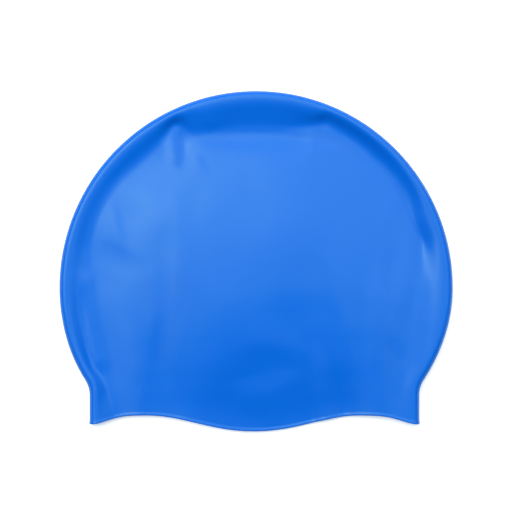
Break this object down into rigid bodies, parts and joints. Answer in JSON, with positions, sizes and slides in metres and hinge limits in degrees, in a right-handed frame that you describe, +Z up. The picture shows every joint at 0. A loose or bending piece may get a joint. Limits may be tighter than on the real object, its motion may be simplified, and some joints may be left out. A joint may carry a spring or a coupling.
{
  "type": "swim cap",
  "caption": "Moulded silicone swim cap lying flat and empty: a round crown folded over at its rim, a short neck at each end and a wavy rounded hem around the mouth.",
  "frame": {"origin": "on the surface the cap lies on, under the middle of its outline", "axes": "+X across the cap from the left fold to the right one, +Y from the mouth to the crown, +Z up from the surface it lies on"},
  "size_m": [0.22, 0.1904, 0.0121],
  "materials": {
    "silicone": "satin, as moulded"
  },
  "bodies": {
    "root": {"cap": "silicone"}
  },
  "joints": []
}
